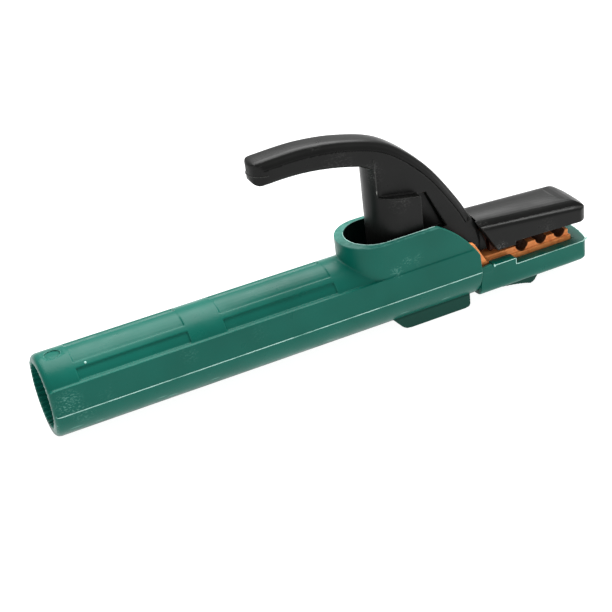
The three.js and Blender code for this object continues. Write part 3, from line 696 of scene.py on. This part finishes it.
def make_cap(curve):
    """The lever's smooth back and the shoulders beside it, drawn along its outer curve."""
    section = CAP_SECTION[::-1] + [(reach, -side) for reach, side in CAP_SECTION[1:]]
    rings = []
    for point, inward in zip(curve, inward_from(curve)):
        ring = []
        for reach, side in section:
            x, z = point + inward * (reach * MM)
            ring.append(within_tail(Vector((x, side * MM, z))))
        rings.append(ring)
    cap = loft("lever_cap", rings)
    dress(cap, "black_plastic", "lever_arm", "black_plastic", "lever")
    cap.data.set_sharp_from_angle(angle=SMOOTH_ANGLE)


def make_lever():
    curve = lever_back()
    lever = skin_over("lever_skin", "lever", voxel=0.32, passes=2, most_faces=170_000,
                      shape=lambda points: tuck_top_edge(points, curve))
    dress(lever, "black_plastic", "lever_arm", "black_plastic", "lever")
    make_cap(curve)
    tree = surface_of(lever)
    tip = at(TAIL_TIP_X + 7.4, 0, TAIL_Z - 1.2)
    first, last = (math.radians(angle) for angle in TAIL_LINE_ARC)
    hits = [meet(tree, tip, heading(angle)) for angle in steps(first, last, 60)]
    line = fin("tail_parting_line", hits, height=0.3, width=0.45)
    dress(line, "black_plastic", "lever_arm", "black_plastic", "lever")
    for side, label in ((-1, "near"), (1, "far")):
        places = [at(WEB_X, 0, z) for z in steps(WEB_TOP_Z, WEB_FOOT_Z, 40)]
        hits = [meet(tree, place, Vector((0, side, 0))) for place in places]
        ridge = fin(f"web_flash_{label}", hits, height=0.3, width=0.5)
        dress(ridge, "black_flash", "lever_arm", "black_plastic", "lever")


# ---------- upper jaw cover ----------
COVER_ROUND_REACH = 10
COVER_ROUND_FALL = 2.4
COVER_ROUND_FROM_Y = 4
COVER_ROUND_FROM_Z = 6
COVER_ROUND_RISE = 5


def round_front_corners(points):
    """Lets the crown fall off towards its two front corners."""
    low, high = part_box("upper_jaw_cover")
    forward = np.clip((points[:, 0] - high[0]) / (COVER_ROUND_REACH * MM) + 1, 0, 1)
    aside = np.abs(points[:, 1]) - COVER_ROUND_FROM_Y * MM
    aside = np.clip(aside / (high[1] - COVER_ROUND_FROM_Y * MM), 0, 1)
    floor = at(0, 0, COVER_ROUND_FROM_Z).z
    rise = np.clip((points[:, 2] - floor) / (COVER_ROUND_RISE * MM), 0, 1)
    points[:, 2] -= forward ** 2 * aside ** 1.5 * rise * COVER_ROUND_FALL * MM
    return points


def make_cover():
    cover = skin_over("cover_skin", "upper_jaw_cover", voxel=0.24, passes=7, most_faces=180_000,
                      shape=round_front_corners)
    dress(cover, "black_plastic", "lever_arm", "black_plastic", "upper_jaw_cover")


# ---------- jaws ----------
# the upper jaw wears copper darkened with painted shade
JAWS = {"lower_jaw": ("copper", "body"), "upper_jaw": ("shaded_copper", "lever_arm")}


def make_jaws():
    for node, (finish, body) in JAWS.items():
        jaw = skin_over(f"{node}_skin", node, voxel=0.28, passes=2, most_faces=120_000)
        dress(jaw, finish, body, "copper", node)


# ---------- spring ----------
SPRING_TURNS = 7
SPRING_WIRE = 1.0  # the wire's radius
SPRING_SIDES = 12
SPRING_REST = 0.5  # turns lying flat at each end
RINGS_PER_TURN = 48


def coil_lift(turns, wire, room):
    """How high the wire has climbed after some turns, with room left between its flat ends."""
    open_turns = SPRING_TURNS - 2 * SPRING_REST
    lift = min(turns, SPRING_REST) * 2 * wire
    lift += max(0, turns - (SPRING_TURNS - SPRING_REST)) * 2 * wire
    return lift + room * min(max(turns - SPRING_REST, 0), open_turns) / open_turns


def make_spring():
    low, high = (Vector(corner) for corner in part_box("spring"))
    middle = (low + high) / 2
    wire = SPRING_WIRE * MM
    radius = (high.x - low.x) / 2 - wire
    foot = low.z + wire
    room = high.z - wire - foot - 4 * wire * SPRING_REST
    rings = []
    for i in range(RINGS_PER_TURN * SPRING_TURNS + 1):
        turns = i / RINGS_PER_TURN
        out = heading(2 * math.pi * turns)
        centre = Vector((middle.x, middle.y, foot + coil_lift(turns, wire, room))) + out * radius
        rings.append([centre + (out * math.cos(a) + UP * math.sin(a)) * wire
                      for a in round_angles(SPRING_SIDES)])
    spring = loft("spring_coil", rings)
    dress(spring, "spring_steel", "body", "spring_steel", "spring")
    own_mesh(spring)


# ---------- small metal and fibre pieces kept from the CAD ----------
KEPT = {
    "contact_body": ("brass", 0.3),
    "cable_saddle": ("brass", 0.2),
    "spring_seat": ("fibre", 0.3),
    "pivot_bush_left": ("fibre", 0.2),
    "pivot_bush_right": ("fibre", 0.2),
    "pivot_pin": ("zinc_steel", 0.35),
    "lever_pin": ("zinc_steel", 0.2),
    "cable_screw_1": ("zinc_steel", 0.2),
    "cable_screw_2": ("zinc_steel", 0.2),
    "jaw_screw_1": ("zinc_steel", 0.2),
    "jaw_screw_2": ("zinc_steel", 0.2),
    "handle_screw": ("zinc_steel", 0.2),
    "shell_screw": ("zinc_steel", 0.2),
    "cover_screw": ("zinc_steel", 0.2),
}


def dress_kept_nodes():
    for name, (finish, edge) in KEPT.items():
        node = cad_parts[name]
        node.data.materials.clear()
        node.data.materials.append(FINISHES[finish])
        bevel = node.modifiers.new("edge", "BEVEL")
        bevel.width = edge * MM
        bevel.segments = 2
        bevel.limit_method = "ANGLE"
        bevel.angle_limit = SMOOTH_ANGLE


# ---------- studio ----------
FLOOR_HALF = 3.0
FLOOR_GREY = 0.3
FLOOR_GLOW = 0.95  # the white table is lit from within, so that shadows on it stay faint
ROOM_LIGHT = 0.6
OVERHEAD_DIRECTION = (0.2, 0.42, 1)
OVERHEAD_DISTANCE = 1.0
OVERHEAD_WIDTH = 1.2
OVERHEAD_DEPTH = 0.9
OVERHEAD_POWER = 22


def make_floor():
    corners = [(-FLOOR_HALF, -FLOOR_HALF), (FLOOR_HALF, -FLOOR_HALF),
               (FLOOR_HALF, FLOOR_HALF), (-FLOOR_HALF, FLOOR_HALF)]
    mesh = bpy.data.meshes.new("floor")
    mesh.from_pydata([(x, y, cad_low[2]) for x, y in corners], [], [(0, 1, 2, 3)])
    floor = add("floor", mesh)
    finish = Finish("floor", (FLOOR_GREY,) * 3, 0.9, specular=0.0)
    finish.shader.inputs["Emission Color"].default_value = (1, 1, 1, 1)
    finish.shader.inputs["Emission Strength"].default_value = FLOOR_GLOW
    mesh.materials.append(finish.done())


def make_overhead():
    """A soft rectangular light facing the object, its width along the handle."""
    data = bpy.data.lights.new("overhead", "AREA")
    data.shape = "RECTANGLE"
    data.size = OVERHEAD_WIDTH
    data.size_y = OVERHEAD_DEPTH
    data.energy = OVERHEAD_POWER
    lamp = bpy.data.objects.new("overhead", data)
    back = Vector(OVERHEAD_DIRECTION).normalized()
    across = Vector((0, 1, 0)).cross(back).normalized()
    turn = Matrix((across, back.cross(across), back)).transposed().to_4x4()
    lamp.matrix_world = Matrix.Translation(back * OVERHEAD_DISTANCE) @ turn
    bpy.context.collection.objects.link(lamp)


def make_light():
    world = bpy.data.worlds.new("studio")
    world.use_nodes = True
    sky = world.node_tree.nodes["Background"]
    sky.inputs["Color"].default_value = (1, 1, 1, 1)
    sky.inputs["Strength"].default_value = ROOM_LIGHT
    bpy.context.scene.world = world
    make_overhead()
    bpy.context.scene.view_settings.view_transform = "Standard"


make_housing()
make_shell()
make_lever()
make_cover()
make_jaws()
make_spring()
dress_kept_nodes()
make_floor()
make_light()
